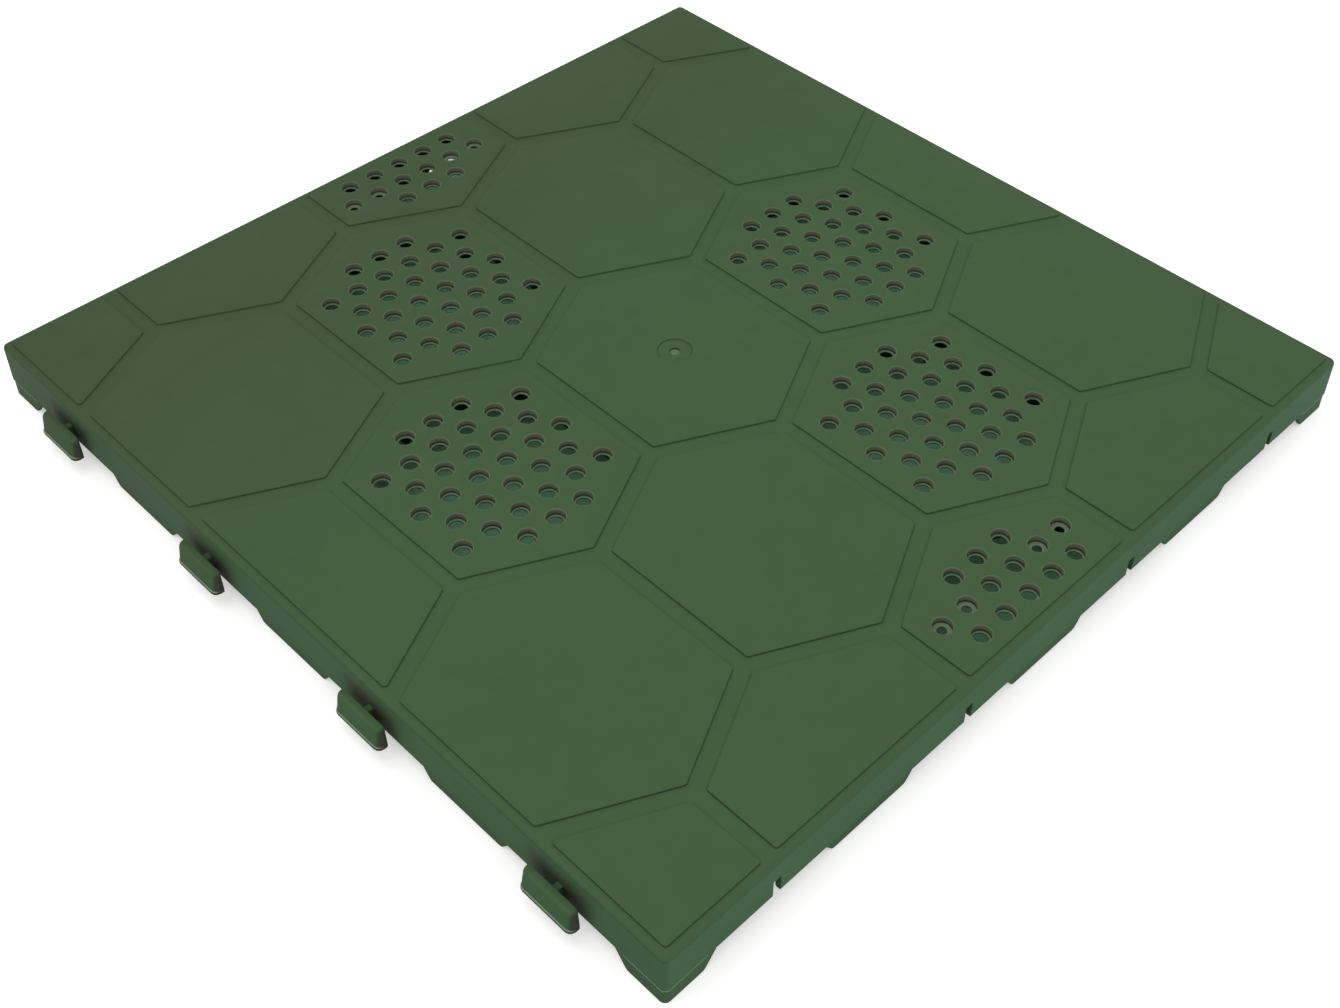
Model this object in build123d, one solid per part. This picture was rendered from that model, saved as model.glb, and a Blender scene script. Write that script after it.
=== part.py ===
"""Plastic drainage tile: a square moulded floor tile with raised hexagon pads.

Some pads are perforated, the channels between them carry water to the holes,
and a skirt with feet lifts the deck off the ground. Hooks on two sides drop
behind the slotted skirt of the next tile. Sizes are in millimetres, the origin
is at the middle of the plan on the ground, and +Z is up.
"""
import os
from math import hypot, sqrt

from build123d import *

# Plan of the deck
pad_pitch = 100.0        # from one pad to the next, and from one row to the next
pads_across = 4          # pitches along a side
side = pad_pitch * pads_across
corner_r = 2.5           # upright corners of the tile
inner_r = 1.0            # the same inside the skirt
edge_r = 2.0             # rounded upper edge all round

# Height
height = 28.0            # ground to the top of the pads
pad_step = 0.9           # pads above the channels
deck_t = 2.6             # deck thickness under the channels
rim_z = height - pad_step
deck_z = rim_z - deck_t

# Hexagon pads
hex_point = 25.0         # rise of the two pointed ends
channel_w = 7.0          # channel between neighbouring pads
border_w = 3.4           # ledge between the pads and the outer edge
pad_edge = 0.4           # bevel round the top of a pad

# Drain holes
holes_across = 7         # hole pitches in one pad pitch
hole_pitch = pad_pitch / holes_across
row_pitch = hole_pitch * sqrt(3) / 2
hole_d = 8.0
hole_facets = 10         # sides that stand for the round of a plain hole

# Gate mark in the middle of the deck
gate_d = 15.0
gate_depth = 0.5
gate_hole_d = 4.6
gate_hole_depth = 0.9

# Skirt and its feet
wall_t = 2.4
skirt_lift = 8.0         # lower edge of the skirt above the ground
foot_t = 2.0
foot_root = 3.0          # how far a foot runs up behind the skirt
foot_top = 50.0          # length of a foot where it leaves the skirt
foot_slope = 6.0         # run of each sloping end
foot_inset = 1.3         # foot face behind the skirt face
corner_foot = 24.0       # corner foot along each side, at the skirt
corner_inset = 0.3       # corner foot face behind the skirt face

# Ribs and legs under the deck
rib_t = 1.8
rib_depth = 16.5         # down to the level of the skirt's lower edge
leg_span = 12.0          # across the arms of a cross-shaped leg

# Hooks: a block on a wider flange, carried by a short stem
hook_gap = 3.2           # space for the next tile's skirt
hook_low = 7.6           # underside above the ground
hook_ledge = 9.6         # top of the flange
hook_top = 18.0          # top of the block
hook_len = 24.6          # block
flange_len = 26.0
block_t = 3.2            # block thickness at its top
block_lean = 0.8         # outer face leans out by this much towards the flange
flange_t = 4.5
hook_round = 1.6         # rounded outer upper edge of the block
hook_end = 1.3           # bevelled outer corners of the block and flange
joint_shift = 1.2        # hooks and slots stand off the middle between two feet
stem_t = 3.0
stem_top = 16.0

# Slots and rooms that take the next tile's hooks
slot_play = 0.7          # slot wider than the stem
lift_play = 0.4          # slot and room above the hook's parts
room_play = 1.0          # between a hook and the ribs round it
slot_w = stem_t + slot_play
slot_top = stem_top + lift_play

half = side / 2
bite = 0.6               # how far a feature runs into the body it joins


def pad_centres():
    """Centre of every pad that has some of its area on the tile."""
    for row in range(-pads_across // 2, pads_across // 2 + 1):
        shift = 0 if row % 2 == 0 else 0.5
        reach = pads_across // 2
        for col in range(-reach, reach + 1):
            x = (col + shift) * pad_pitch
            if abs(x) <= half:
                yield x, row * pad_pitch


def hexagon(x, y, shrink):
    """Outline of a pad cell about x, y, drawn in by shrink on every side."""
    w = pad_pitch / 2
    flat = (pad_pitch - hex_point) / 2
    lean = hypot(1, hex_point / w)
    tip = flat + hex_point - shrink * lean
    shoulder = tip - (w - shrink) * hex_point / w
    w -= shrink
    outline = [(w, shoulder), (0, tip), (-w, shoulder), (-w, -shoulder), (0, -tip), (w, -shoulder)]
    return Pos(x, y) * Polygon(*outline, align=None)


def slab(size, radius, low, high):
    """Upright block with a rounded square plan."""
    return Pos(0, 0, low) * extrude(RectangleRounded(size, size, radius), high - low)


def shell():
    """Deck and skirt, open below, with the rounded upper edge."""
    block = slab(side, corner_r, skirt_lift, rim_z)
    block = fillet(block.faces().sort_by(Axis.Z)[-1].edges(), edge_r)
    return block - slab(side - 2 * wall_t, inner_r, 0, deck_z)


def pads():
    """Raised hexagons, cut off at the border ledge, with a bevelled top edge."""
    field = Rectangle(side - 2 * border_w, side - 2 * border_w)
    solids = []
    for x, y in pad_centres():
        outline = hexagon(x, y, channel_w / 2) & field
        pad = Pos(0, 0, rim_z - bite) * extrude(outline, pad_step + bite)
        top = pad.faces().sort_by(Axis.Z)[-1]
        solids.append(chamfer(top.edges(), pad_edge))
    return solids


def perforated_pads():
    """Centres of the pads that carry drain holes."""
    p = pad_pitch
    return [(0, half), (-p / 2, p), (-p, 0), (p, 0), (p / 2, -p), (0, -half)]


def drain_hole_plans():
    """Plans of all the drain holes, in up to seven rows to a pad.

    The two ends of each pad's widest row are true circles, and the others have facets.
    """
    round_hole = Circle(hole_d / 2)
    plain_hole = RegularPolygon(hole_d / 2, hole_facets)
    for cx, cy in perforated_pads():
        widest = 0 if abs(cy) < half else 1
        for row in range(-3, 4):
            count = {0: 6, 1: 5, 2: 6, 3: 3}[abs(row)]
            y = cy + row * row_pitch
            if abs(y) > half - hole_pitch / 2:
                continue
            for i in range(count):
                at_end = abs(row) == widest and i in (0, count - 1)
                x = cx + (i - (count - 1) / 2) * hole_pitch
                yield Pos(x, y) * (round_hole if at_end else plain_hole)


def drain_holes():
    plans = Sketch() + list(drain_hole_plans())
    return Pos(0, 0, deck_z - bite) * extrude(plans, height - deck_z + 2 * bite)


def gate_mark():
    """Shallow round recess with a small blind hole in its middle."""
    recess = Cylinder(gate_d / 2, 2 * gate_depth)
    pin = Cylinder(gate_hole_d / 2, 2 * (gate_depth + gate_hole_depth))
    return Pos(0, 0, height) * (recess + pin)


def turns(solid, quarter_turns):
    return Rot(0, 0, 90 * quarter_turns) * solid


def foot(length, slope_a, slope_b, inset):
    """Foot on the side y = -half, about x = 0, with its ends sloped in by the two runs."""
    top = skirt_lift + foot_root
    face = Polygon(
        (-length / 2, top), (-length / 2, skirt_lift), (-length / 2 + slope_a, 0),
        (length / 2 - slope_b, 0), (length / 2, skirt_lift), (length / 2, top), align=None)
    return Pos(0, -half + inset, 0) * extrude(Plane.XZ * face, -foot_t)


def feet():
    """One foot to a pad pitch along each side, and half feet that meet at the corners."""
    middle = foot(foot_top, foot_slope, foot_slope, foot_inset)
    reach = corner_foot - corner_inset
    rounded = slab(side - 2 * corner_inset, corner_r, 0, skirt_lift + foot_root)
    start = rounded & Pos(-half + corner_inset + reach / 2, 0, 0) * foot(reach, 0, foot_slope, corner_inset)
    end = rounded & Pos(half - corner_inset - reach / 2, 0, 0) * foot(reach, foot_slope, 0, corner_inset)
    along = [(i - pads_across / 2) * pad_pitch for i in range(1, pads_across)]
    one_side = [Pos(x, 0, 0) * middle for x in along] + [start, end]
    return [turns(solid, k) for k in range(4) for solid in one_side]


def rib(x0, y0, x1, y1):
    """Upright rib under the deck from one point to the other."""
    length = hypot(x1 - x0, y1 - y0)
    bar = Box(length + rib_t, rib_t, rib_depth + bite, align=(Align.CENTER, Align.CENTER, Align.MAX))
    run = Vector(x1 - x0, y1 - y0, 0)
    angle = Vector(1, 0, 0).get_signed_angle(run, Vector(0, 0, 1))
    return Pos((x0 + x1) / 2, (y0 + y1) / 2, deck_z + bite) * Rot(0, 0, angle) * bar


def cell_corners():
    """Corners of the pad cells that lie inside the skirt."""
    flat = (pad_pitch - hex_point) / 2
    found = set()
    for x, y in pad_centres():
        for sx, sy in ((0, flat + hex_point), (0, -flat - hex_point),
                       (pad_pitch / 2, flat), (pad_pitch / 2, -flat),
                       (-pad_pitch / 2, flat), (-pad_pitch / 2, -flat)):
            if max(abs(x + sx), abs(y + sy)) < half - leg_span / 2:
                found.add((round(x + sx, 3), round(y + sy, 3)))
    return sorted(found)


def ribs():
    """Ribs that follow the channels, cut away where the next tile's hooks come in."""
    w = pad_pitch / 2
    flat = (pad_pitch - hex_point) / 2
    inside = slab(side - 2 * wall_t + bite, inner_r, 0, deck_z + bite)
    solids = []
    for x, y in pad_centres():
        corners = [(x - w, y - flat), (x - w, y + flat), (x, y + flat + hex_point), (x + w, y + flat)]
        solids += [rib(*a, *b) & inside for a, b in zip(corners, corners[1:])]
    web = Part() + solids
    return web - hook_rooms()


def legs():
    """Cross-shaped legs down to the ground, under the cell corners and the middle of the tile."""
    arm = Box(leg_span, rib_t, deck_z + bite, align=(Align.CENTER, Align.CENTER, Align.MIN))
    cross = arm + turns(arm, 1)
    return [Pos(x, y, 0) * cross for x, y in cell_corners() + [(0, 0)]]


def joint_centres():
    """Places along a side, halfway between feet, before they are shifted."""
    return [(i + 0.5 - pads_across / 2) * pad_pitch for i in range(pads_across)]


def hook():
    """Hook on the side x = -half about y = 0, drawn with its distance from the skirt as x."""
    outer = hook_gap + block_t
    section = Polygon(
        (hook_gap, hook_ledge - bite), (hook_gap, hook_top), (outer, hook_top),
        (outer + block_lean, hook_ledge), (outer + block_lean, hook_ledge - bite), align=None)
    crest = section.vertices().filter_by(lambda v: v.X > hook_gap + bite).sort_by(Axis.Y)[-1]
    block = extrude(Plane.XZ * fillet(crest, hook_round), hook_len / 2, both=True)
    ends = Rectangle(outer + block_lean, hook_len, align=(Align.MIN, Align.CENTER))
    ends = chamfer(ends.vertices().sort_by(Axis.X)[-2:], hook_end)
    block &= extrude(ends, hook_top)
    plan = Pos(hook_gap, 0) * Rectangle(flange_t, flange_len, align=(Align.MIN, Align.CENTER))
    plan = chamfer(plan.vertices().sort_by(Axis.X)[-2:], hook_end)
    flange = Pos(0, 0, hook_low) * extrude(plan, hook_ledge - hook_low)
    stem = Pos(-bite, 0, hook_low) * Box(
        hook_gap + 2 * bite, stem_t, stem_top - hook_low, align=(Align.MIN, Align.CENTER, Align.MIN))
    return Pos(-half, 0, 0) * Rot(0, 0, 180) * (block + flange + stem)


def hooks():
    """Hooks along the side x = -half, and mirrored about the diagonal along y = half."""
    left = [Pos(0, y - joint_shift, 0) * hook() for y in joint_centres()]
    back = [turns(Pos(0, y + joint_shift, 0) * hook(), -1) for y in joint_centres()]
    return left + back


def in_front(solid):
    """Copies of a solid made for the middle of y = -half, at each joint on that side and on x = half."""
    front = [Pos(x + joint_shift, 0, 0) * solid for x in joint_centres()]
    right = [turns(Pos(x - joint_shift, 0, 0) * solid, 1) for x in joint_centres()]
    return front + right


def slots():
    """Slots through the skirt for the stems, open below."""
    cut = Box(slot_w, 4 * wall_t, slot_top, align=(Align.CENTER, Align.CENTER, Align.MIN))
    return in_front(Pos(0, -half, 0) * cut)


def hook_rooms():
    """Room behind the slotted skirt for the blocks and flanges."""
    depth = hook_gap + flange_t + room_play
    room = Box(flange_len + 2 * room_play, depth, hook_top + lift_play,
               align=(Align.CENTER, Align.MIN, Align.MIN))
    return in_front(Pos(0, -half, 0) * room)


def tile():
    body = shell() + ribs() + legs() + feet() + pads() + hooks()
    body = body - slots() - gate_mark()
    return body - drain_holes()


os.makedirs("parts", exist_ok=True)
export_step(tile(), "parts/tile.step")
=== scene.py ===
"""Looks of a plastic drainage tile: the moulded tile, its plastic, and a plain studio.

The tile stands on its feet on the floor, with the middle of its plan at the
origin. The hooks are on the sides -X and +Y, the slots on the sides +X and -Y.
"""
import math

import bmesh
import bpy
import numpy as np
from mathutils import Matrix, Vector
from mathutils.geometry import delaunay_2d_cdt


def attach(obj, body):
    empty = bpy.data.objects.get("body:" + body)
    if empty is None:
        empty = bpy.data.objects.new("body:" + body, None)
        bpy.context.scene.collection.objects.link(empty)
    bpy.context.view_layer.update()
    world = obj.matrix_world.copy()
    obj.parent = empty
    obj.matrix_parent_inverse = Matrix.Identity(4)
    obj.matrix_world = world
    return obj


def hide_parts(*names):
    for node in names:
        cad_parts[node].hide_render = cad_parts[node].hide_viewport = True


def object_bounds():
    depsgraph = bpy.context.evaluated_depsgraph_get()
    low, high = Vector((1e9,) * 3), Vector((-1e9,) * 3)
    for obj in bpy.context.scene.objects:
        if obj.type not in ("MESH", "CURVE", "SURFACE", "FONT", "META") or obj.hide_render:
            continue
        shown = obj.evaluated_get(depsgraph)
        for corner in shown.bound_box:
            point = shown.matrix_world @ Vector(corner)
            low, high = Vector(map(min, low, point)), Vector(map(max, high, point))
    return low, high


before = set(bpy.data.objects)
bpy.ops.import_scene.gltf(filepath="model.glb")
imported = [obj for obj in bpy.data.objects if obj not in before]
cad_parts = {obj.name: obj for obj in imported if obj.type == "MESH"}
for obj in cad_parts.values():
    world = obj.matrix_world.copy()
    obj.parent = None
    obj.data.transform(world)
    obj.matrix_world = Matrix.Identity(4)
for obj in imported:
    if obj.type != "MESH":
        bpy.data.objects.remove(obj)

bl_info = {
    "name": "Plastic drainage tile",
    "version": (1, 0, 0),
    "blender": (4, 5, 0),
    "location": "View3D > Sidebar > Tile",
    "description": "Builds a moulded drainage tile with its plastic and a plain studio",
    "category": "Add Mesh",
}

MM = 0.001
CAD_LOW, CAD_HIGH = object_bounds()
HALF = CAD_HIGH.x                  # half the side of the tile, without its hooks
HEIGHT = CAD_HIGH.z

# Deck, as in the part
PADS_ACROSS = 4
CORNER_R = 2.5 * MM
EDGE_R = 2.0 * MM
HEX_POINT = 25 * MM                # height of a cell's pointed end
DECK_T = 2.6 * MM
HOLES_ACROSS = 7                   # steps from hole to hole in a pad pitch
HOLE_ROWS = (6, 5, 6, 3)           # holes in a pad's middle row, and in each row out from it

# Rounded edges that the moulding tool leaves
PAD_CORNER_R = 1.2 * MM
PAD_EDGE_R = 0.4 * MM
PAD_FOOT_R = 0.1 * MM
HOLE_EDGE_R = 0.3 * MM
LEDGE_SOFT = 0.15 * MM
SILT_TOP = 0.8 * MM                # where the palest silt starts, above a hole's ledge
SMALL_BEVEL = 0.4 * MM
SHARP_DEGREES = 32                 # faces that meet at more than this show an edge

# Gate mark in the middle of the deck
GATE_R = 7.5 * MM
GATE_DEPTH = 0.5 * MM
GATE_PIN_R = 2.3 * MM
GATE_PIN_DEPTH = 0.9 * MM
GATE_SOFT = 0.2 * MM

# Skirt and feet
WALL_T = 2.4 * MM
SKIRT_LIFT = 8.0 * MM
RIM_STRIP = 0.4 * MM               # height of the strip below the rim's curve that is painted in shade
FOOT_T = 2.0 * MM
FOOT_ROOT = 3.0 * MM               # how far a foot runs up behind the skirt
FOOT_TOP = 50.0 * MM               # length of a foot at the skirt's lower edge
FOOT_SLOPE = 6.0 * MM              # how far each end slopes in, down to the floor
FOOT_OVER = 0.3 * MM               # how far its slope runs on behind the skirt
FOOT_RISE = 1.5                    # how steeply it does so
FOOT_INSET = 1.3 * MM              # how far its face stands back from the skirt's
CORNER_FOOT = 24.0 * MM            # length of a corner's foot along each side
CORNER_INSET = 0.3 * MM
FOOT_EASE = 1.2 * MM               # how far from a kink its curve starts
HIGHLIGHT_TOP = 0.4 * MM              # the feet's painted highlight line, down from the skirt's lower edge
HIGHLIGHT_LOW = 0.85 * MM
HIGHLIGHT_LEAST = 0.05 * MM           # its height where a foot is too shallow for it

# Ribs and legs
RIB_T = 1.8 * MM
RIB_DEPTH = 16.5 * MM
RIB_LEAST = 2.0 * MM               # a rib that starts nearer the skirt than this is left out
AT_SKIRT = 1.0 * MM                # an end nearer than this is at the skirt
LEG_SPAN = 12.0 * MM
LEG_CORNER_R = 0.3 * MM
LEG_BEVEL = 0.2 * MM
BITE = 0.3 * MM                    # how far one form runs into the next

# Hooks, slots and the rooms behind the slots
HOOK_GAP = 3.2 * MM                # room for the neighbour's skirt
HOOK_LOW = 7.6 * MM
HOOK_LEDGE = 9.6 * MM
HOOK_TOP = 18.0 * MM
HOOK_LEN = 24.6 * MM
FLANGE_LEN = 26.0 * MM
BLOCK_T = 3.2 * MM
BLOCK_LEAN = 0.8 * MM
FLANGE_T = 4.5 * MM
HOOK_ROUND = 1.6 * MM
HOOK_END_R = 2.6 * MM
CREST_DRAW = 0.7                   # share of the crest's inset that the block's ends take
FLANGE_R = 2.6 * MM
FLANGE_NEAR_R = 0.5 * MM
STEM_T = 3.0 * MM
STEM_TOP = 16.0 * MM
STEM_CORNER_R = 0.4 * MM
STEM_BEVEL = 0.3 * MM
JOINT_SHIFT = 1.2 * MM             # how far hooks and slots stand off the middle between feet
SLOT_W = 3.7 * MM
SLOT_TOP = 16.4 * MM
ROOM_DEPTH = 8.7 * MM              # from the outer face to the deep part of a rib
ROOM_TOP = 18.4 * MM

# Painted shade, pale silt and painted highlights on each step of a section, as Patches explains.
# All run from the top down but the flange's
PAD_SIDE_SHADE = (0, 0, 0.1, 0.7, 0.8, 0.8, 0.8)
HOLE_SHADING_AND_SILT = (-0.35, -0.1, 1.7, 1.9, 0.6, 0.8, -0.5, -0.3, 0.6)
GATE_SHADE = (0, 1, 0, 0, 1)
GATE_PIN_PALE = -0.35
RIM_SHADE = 0.25
SKIRT_EDGE_HIGHLIGHT = -0.8
FOOT_SHADING = (0, -0.7, 0.15, 0.6, 0, 0, 0, 0)
FLANGE_SHADING = (0.6, 0.5, -0.6)

# Painted shade round the hooks. Distances along a side start at the middle of a hook. The painted
# shadow on the skirt is full up to the first distance and height, and ends at the second
HOOK_STEP = 50 * MM                # half the distance between neighbouring hooks
SHADOW_FULL, SHADOW_END = 12 * MM, 19 * MM
SHADOW_LOW, SHADOW_TOP = 19 * MM, 25.5 * MM
SHADOW_SHARE = 0.5
END_SHADE_FROM, END_SHADE_FULL = HOOK_LEN / 2 - 1.6 * MM, HOOK_LEN / 2 - 0.2 * MM
END_SHADE_SHARE = 0.75
SKIRT_SKIN = 1.5 * MM              # how near the outer face counts as the skirt

# Painted crease shade, and browning, over the whole tile
CREASE_MOST, CREASE_LEAST = 1.1, 0.3   # at the corner -X -Y, and at +X +Y
BROWNING_SIDE = (-0.2, 1, 0)           # the way in which the browning grows
BROWNING_REACH = 1.2 * HALF            # where it is full, from the middle of the tile
BROWNING_SHARE = 0.28

# Plastic
WALL_FROM, DECK_FROM = 0.25, 0.8   # upward part of the normal, on walls and on the deck
FLOW = 60 * MM                     # size of the melt's flow marks
BLOTCH = 8 * MM                    # size of the smaller blotches
MOTTLE_FROM, MOTTLE_TO = 0.6, 1.4
MOTTLE = 0.05                      # how much lighter and darker the mottling gets
GRAIN = 0.6 * MM                   # coarser than the real grain of 0.1 to 0.2 mm, so that it shows
GRAIN_DEPTH = 0.05 * MM
GRAIN_STRENGTH = 0.25
GRAIN_FROM, GRAIN_TO = 0.3, 0.7
ROUGH_LEAST, ROUGH_MOST = 0.55, 0.68
PLASTIC_IOR = 1.49
PLASTIC_SPECULAR = 0.04

# Studio
FLOOR_REACH = 6.0
FLOOR_ROUGHNESS = 0.9
SHADE_SHIFT = 9 * MM               # how far the shade is moved to the far sides
SHADE_FULL, SHADE_END = HALF - 12.5 * MM, HALF - 0.5 * MM
LIFT_UNDER, LIFT_BEYOND = 0.02, 0.5    # painted green glow under the tile, and the lift beyond it
WORLD_LIGHT = 0.85                 # on the tile; the camera sees the world at 1
SOFTBOX_SIZE = 1.6
SOFTBOX_ENERGY = 8
SOFTBOX_PLACE = Vector((-0.8, 0.2, 1.9))

# Camera, fitted to the photograph
FRAME_WIDTH, FRAME_HEIGHT = 1340, 1008
SENSOR_WIDTH = 36
CLIP_START = 10 * MM
FOCAL_PIXELS = 1818.2
CENTRE_PIXEL = (724.4, 350.0)
CAMERA_PLACE = Vector((-0.4056, -0.4096, 0.5373))
CAMERA_AIM = Vector((0.0152, -0.0145, 0.028))
CAMERA_ROLL = 1.858


class TileSizes(bpy.types.PropertyGroup):
    """Sizes of the tile that a user would change."""
    pad_pitch: bpy.props.FloatProperty(
        name="Pad pitch", description="Distance between neighbouring pads",
        default=2 * HALF / PADS_ACROSS, unit="LENGTH")
    pad_step: bpy.props.FloatProperty(
        name="Pad step", description="Height of the pads above the channels",
        default=0.9 * MM, unit="LENGTH")
    channel: bpy.props.FloatProperty(
        name="Channel", description="Width of the channel between two pads",
        default=7 * MM, unit="LENGTH")
    border: bpy.props.FloatProperty(
        name="Border", description="Ledge between the pads and the outer edge",
        default=3.4 * MM, unit="LENGTH")
    hole: bpy.props.FloatProperty(
        name="Hole", description="Diameter of a drain hole at the top",
        default=8 * MM, unit="LENGTH")
    hole_step: bpy.props.FloatProperty(
        name="Hole step", description="Depth of the ledge inside a drain hole",
        default=2.9 * MM, unit="LENGTH")
    hole_ledge: bpy.props.FloatProperty(
        name="Hole ledge", description="Width of the ledge inside a drain hole",
        default=1.0 * MM, unit="LENGTH")
    narrow_ledge: bpy.props.FloatProperty(
        name="Narrow hole's ledge",
        description="Width of the ledge inside the narrow holes near two sides",
        default=2.0 * MM, unit="LENGTH")


def linear(text):
    """An sRGB hex value as linear red, green and blue."""
    srgb = np.array([int(text[i:i + 2], 16) for i in (1, 3, 5)]) / 255
    return tuple(np.where(srgb <= 0.04045, srgb / 12.92, ((srgb + 0.055) / 1.055) ** 2.4))


def colour(name, description, text):
    """A colour property whose default is an sRGB hex value."""
    return bpy.props.FloatVectorProperty(
        name=name, description=description, default=linear(text),
        subtype="COLOR", size=3, min=0, max=1)


class TileColours(bpy.types.PropertyGroup):
    """Colours of the plastic and of the studio."""
    plastic: colour("Plastic", "Colour of the moulded plastic", "#455D3F")
    # Painted shading: upright faces take a lit, bluer green on the sides +X and -Y and a shaded,
    # darker green on the sides -X and +Y
    lit_wall_green: colour(
        "Wall, cool", "Bluer green of the upright faces on the slotted sides", "#446447")
    shaded_wall_green: colour(
        "Wall, warm", "Darker green of the upright faces on the hooked sides", "#3B573B")
    # Paints shade in the creases and round the hooks, and the browning towards +Y
    dust_and_shading: colour("Dust", "Brown dust in the creases and round the hooks", "#3B342C")
    silt: colour("Dry silt", "Pale grey-brown silt on the walls of the drain holes", "#6B6D5B")
    # Paints highlights on edges and ledges, and the gate pin's floor
    painted_highlights: colour("Worn edge", "Pale green of edges rubbed by handling", "#8CA085")
    floor: colour("Floor", "Colour of the studio floor", "#F0F0EF")
    floor_shade: colour(
        "Floor in shade", "Floor under the tile, green from the light off the plastic", "#A8EDC0")


class Patches:
    """Points and faces of several surfaces, gathered to make one mesh.

    Each face has its shading and silt: up to 1 the share of it painted in shade with the dark
    brown, from 1 to 2 how much pale, dry silt lies over that, and below 0 the share painted in
    highlight green.
    """

    def __init__(self):
        self.points, self.faces, self.dust_and_shading, self.count = [], [], [], 0

    def add(self, points, faces, dust_and_shading=0.0):
        """Takes points as rows of x, y, z and faces as rows of indices into them."""
        points = np.asarray(points, float).reshape(-1, 3)
        self.points.append(points)
        self.faces += (np.asarray(faces, int) + self.count).tolist()
        self.dust_and_shading.append(np.broadcast_to(dust_and_shading, len(faces)))
        self.count += len(points)

    def mesh(self, name):
        """One mesh, with points that lie on each other merged and all faces turned outwards."""
        data = bpy.data.meshes.new(name)
        data.from_pydata(np.concatenate(self.points).tolist(), [], self.faces)
        dust_and_shading = data.attributes.new("dust_and_shading", "FLOAT", "FACE")
        dust_and_shading.data.foreach_set("value", np.concatenate(self.dust_and_shading).astype(np.float32))
        work = bmesh.new()
        work.from_mesh(data)
        bmesh.ops.remove_doubles(work, verts=work.verts, dist=1e-6)
        bmesh.ops.recalc_face_normals(work, faces=work.faces)
        work.to_mesh(data)
        work.free()
        return data


def quarter(points, turns):
    """Points turned about the upright axis by that many quarter turns."""
    c, s = [(1, 0), (0, 1), (-1, 0), (0, -1)][turns % 4]
    x, y = points[..., 0], points[..., 1]
    out = np.array(points, float)
    out[..., 0], out[..., 1] = c * x - s * y, s * x + c * y
    return out


def right_of(runs):
    """Unit vectors to the right of plan vectors: (y, -x) over the length."""
    return np.stack([runs[:, 1], -runs[:, 0]], 1) / np.linalg.norm(runs, axis=1)[:, None]


def outward(corners):
    """Outward normals of the sides before and after each corner of an anticlockwise outline."""
    after = right_of(np.roll(corners, -1, 0) - corners)
    return np.roll(after, 1, 0), after


def drawn_in(corners, inset):
    """Convex outline with every side moved in by inset.

    Each corner moves by inset times the sum of its two normals over one plus their product.
    """
    before, after = outward(corners)
    return corners - inset * (before + after) / (1 + (before * after).sum(1))[:, None]


def rounded(corners, radius, inset, steps=5):
    """Outline of a convex shape with rounded corners.

    Each corner becomes an arc about the point that lies at radius from both its sides.
    The arc's own radius is radius less inset, so outlines with other insets run alongside.
    The radius is one value, or one for each corner.
    """
    corners = np.asarray(corners, float)
    radius = np.broadcast_to(radius, len(corners))[:, None]
    centres = drawn_in(corners, radius)
    before, after = outward(corners)
    start = np.arctan2(before[:, 1], before[:, 0])
    sweep = np.arctan2(after[:, 1], after[:, 0]) - start
    sweep = (sweep + math.pi) % (2 * math.pi) - math.pi
    angle = start[:, None] + sweep[:, None] * np.linspace(0, 1, steps)
    spokes = np.stack([np.cos(angle), np.sin(angle)], -1)
    return (centres[:, None] + (radius - inset)[..., None] * spokes).reshape(-1, 2)


def at_height(plan, z):
    """Plan points lifted to height z."""
    return np.c_[plan, np.full(len(plan), z)]


def rings(m, n):
    """Faces between m closed loops of n points, one row of them for each pair of loops."""
    i, j = np.meshgrid(np.arange(m - 1), np.arange(n), indexing="ij")
    k = (j + 1) % n
    return np.stack([i * n + j, i * n + k, (i + 1) * n + k, (i + 1) * n + j], -1)


def band(patches, loops, dust_and_shading=0.0):
    """Surface carried from each closed loop to the next, all with as many points.

    The dust is one share, or one for each step from loop to loop.
    """
    loops = np.asarray(loops, float)
    m, n = loops.shape[:2]
    patches.add(loops, rings(m, n).reshape(-1, 4), np.repeat(np.broadcast_to(dust_and_shading, m - 1), n))


def lid(patches, loop, dust_and_shading=0.0):
    """Flat face inside one convex loop."""
    patches.add(loop, [np.arange(len(loop))], dust_and_shading)


def loft(patches, loops, dust_and_shading=0.0):
    """Closed body through the loops, with a flat face at both ends."""
    band(patches, loops, dust_and_shading)
    lid(patches, loops[0])
    lid(patches, loops[-1])


def inside(points, outline):
    """True for each point inside a convex outline that runs anticlockwise.

    It is left of every side: the cross product of the side and the way to the point is above 0.
    """
    side = np.roll(outline, -1, 0) - outline
    gap = points[:, None] - outline[None]
    return ((side[None, :, 0] * gap[..., 1] - side[None, :, 1] * gap[..., 0]) > 0).all(1)


def plate(patches, outline, openings, z):
    """Flat face at height z inside the outline and outside every convex opening.

    It is cut into triangles between the loops' own points.
    """
    loops = [outline, *openings]
    starts = np.cumsum([0] + [len(a) for a in loops])
    edges = np.concatenate([
        np.stack([s + np.arange(len(a)), s + (np.arange(len(a)) + 1) % len(a)], 1)
        for s, a in zip(starts, loops)])
    flat = [Vector(p) for p in np.concatenate(loops)]
    points, _, faces, *_ = delaunay_2d_cdt(flat, edges.tolist(), [], 1, 1e-9)
    points, faces = np.array([tuple(p) for p in points]), np.array(faces)
    middles = points[faces].mean(1)
    open_here = np.zeros(len(faces), bool)
    for a in openings:
        near = (np.abs(middles - a.mean(0)) <= np.ptp(a, 0)).all(1)
        open_here[near] |= inside(middles[near], a)
    patches.add(at_height(points, z), faces[~open_here])


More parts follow.
